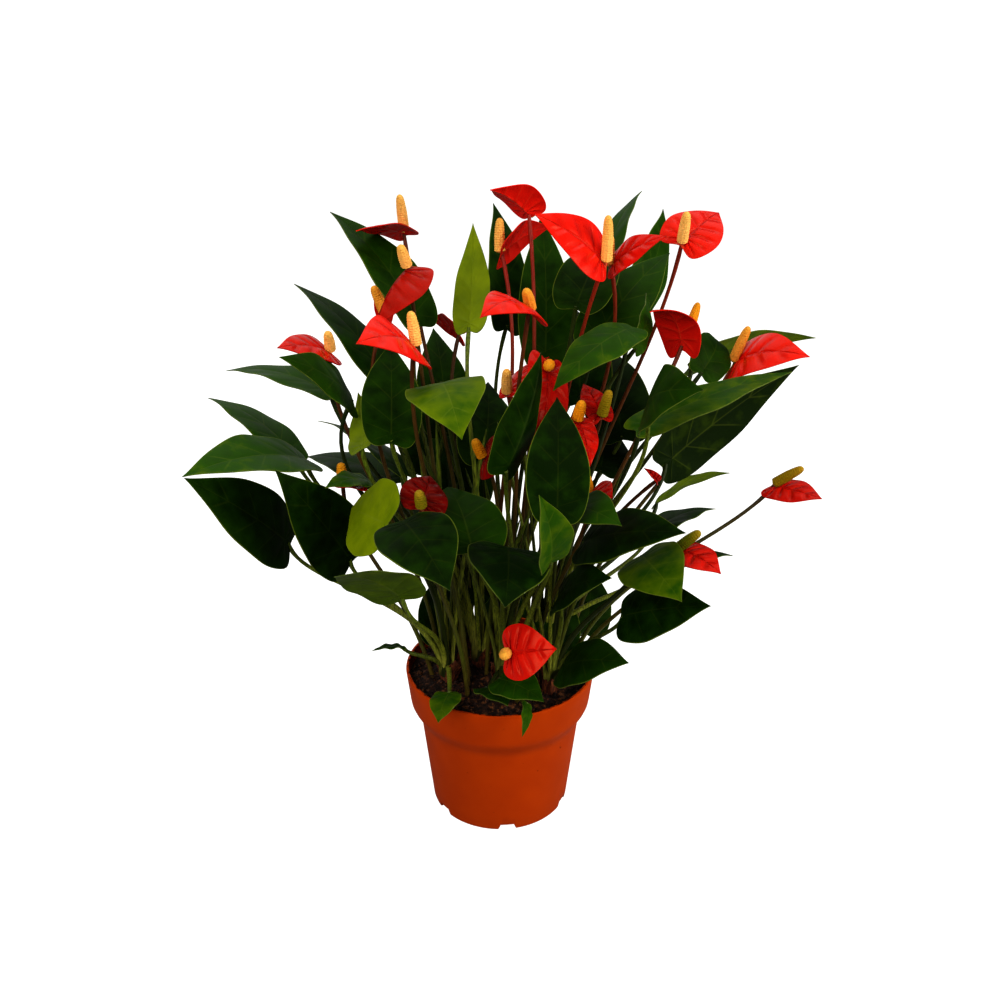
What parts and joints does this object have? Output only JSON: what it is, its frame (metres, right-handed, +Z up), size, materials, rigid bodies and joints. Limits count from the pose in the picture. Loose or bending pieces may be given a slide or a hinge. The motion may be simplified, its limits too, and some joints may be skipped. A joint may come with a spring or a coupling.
{
  "type": "potted anthurium",
  "caption": "Bushy anthurium with heart-shaped leaves and red spathes on long stalks, growing in soil in an orange plastic pot.",
  "frame": {"origin": "centre of the pot's flat foot, on the surface that it stands on", "axes": "+Z up through the pot's axis, -Y towards the front of the plant, +X to the right as seen from the front"},
  "size_m": [0.5568, 0.4257, 0.5517],
  "materials": {
    "pot": "smooth orange plastic with a low sheen",
    "soil": "dark brown peat crumbs, dull",
    "leaf": "waxy dark green blades with paler ribs and margin, on olive stalks",
    "spathe": "lacquered red with raised ribs, on reddish olive stalks",
    "spadix": "fine bumps, cream to orange-yellow, some still green"
  },
  "bodies": {
    "root": {"pot": "pot", "soil": "soil", "leaves_left": "leaf", "leaves_back_left": "leaf", "leaves_middle_left": "leaf", "leaves_front": "leaf", "leaves_back": "leaf", "leaves_right": "leaf", "leaves_front_right": "leaf", "flower_01": "spathe", "flower_02": "spathe", "flower_03": "spathe", "flower_04": "spathe", "flower_05": "spathe", "flower_06": "spathe", "flower_07": "spathe", "flower_08": "spathe", "flower_09": "spathe", "flower_10": "spathe", "flower_11": "spathe", "flower_12": "spathe", "flower_13": "spathe", "flower_14": "spathe", "flower_15": "spathe", "flower_16": "spathe", "flower_17": "spathe", "flower_18": "spathe", "flower_19": "spathe", "flower_20": "spathe", "flower_21": "spathe", "flower_22": "spathe", "flower_23": "spathe", "flower_24": "spathe", "flower_25": "spathe", "flower_26": "spathe", "spadix_01": "spadix", "spadix_02": "spadix", "spadix_03": "spadix", "spadix_04": "spadix", "spadix_05": "spadix", "spadix_06": "spadix", "spadix_07": "spadix", "spadix_08": "spadix", "spadix_09": "spadix", "spadix_10": "spadix", "spadix_11": "spadix", "spadix_12": "spadix", "spadix_13": "spadix", "spadix_14": "spadix", "spadix_15": "spadix", "spadix_16": "spadix", "spadix_17": "spadix", "spadix_18": "spadix", "spadix_19": "spadix", "spadix_20": "spadix", "spadix_21": "spadix", "spadix_22": "spadix", "spadix_23": "spadix", "spadix_24": "spadix", "spadix_25": "spadix"}
  },
  "joints": []
}
